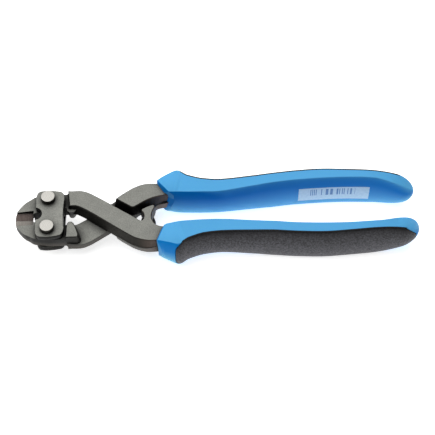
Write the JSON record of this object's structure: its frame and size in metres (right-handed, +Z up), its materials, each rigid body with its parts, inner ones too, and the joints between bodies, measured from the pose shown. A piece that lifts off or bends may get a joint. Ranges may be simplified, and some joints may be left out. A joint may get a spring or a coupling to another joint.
{
  "type": "compact bolt cutters",
  "caption": "Compact bolt cutters with crossed forged levers pivoting between two strap plates and soft-zone grips.",
  "frame": {"origin": "on the surface the closed tool lies on, under the middle of its length and width", "axes": "+X along the tool from the jaws to the handle ends, +Y across it towards the upper handle, +Z up out of the front face"},
  "size_m": [0.2, 0.0488, 0.0216],
  "materials": {
    "forged_steel": "drop-forged tool steel, phosphated grey with near-black walls, flat faces finely ground, cutting lands ground bare",
    "strap_steel": "stamped steel plate, phosphated grey, faint grinding lines",
    "rivet_steel": "bright turned steel rivet with a flat head",
    "grip_plastic": "moulded blue plastic, satin",
    "grip_rubber": "dark grey soft moulded zone, fine matt grain"
  },
  "bodies": {
    "strap_frame": {"front_strap_plate": "strap_steel", "back_strap_plate": "strap_steel", "upper_pivot_rivet": "rivet_steel", "lower_pivot_rivet": "rivet_steel"},
    "upper_jaw_lower_handle": {"upper_jaw_lever": "forged_steel", "lower_grip_shell": "grip_plastic", "lower_grip_pad": "grip_rubber"},
    "lower_jaw_upper_handle": {"lower_jaw_lever": "forged_steel", "upper_grip_shell": "grip_plastic", "upper_grip_pad": "grip_rubber"}
  },
  "joints": [
    {"name": "upper_jaw_hinge", "type": "hinge", "parent": "strap_frame", "child": "upper_jaw_lower_handle", "pos_m": [-0.0835, 0.00875, 0.0108], "axis": [0, 0, -1], "range_deg": [0, 16]},
    {"name": "lower_jaw_hinge", "type": "hinge", "parent": "strap_frame", "child": "lower_jaw_upper_handle", "pos_m": [-0.0835, -0.00875, 0.0108], "axis": [0, 0, 1], "range_deg": [0, 16]}
  ],
  "couplings": [
    {"joint": "lower_jaw_hinge", "follows": "upper_jaw_hinge", "ratio": 1}
  ]
}
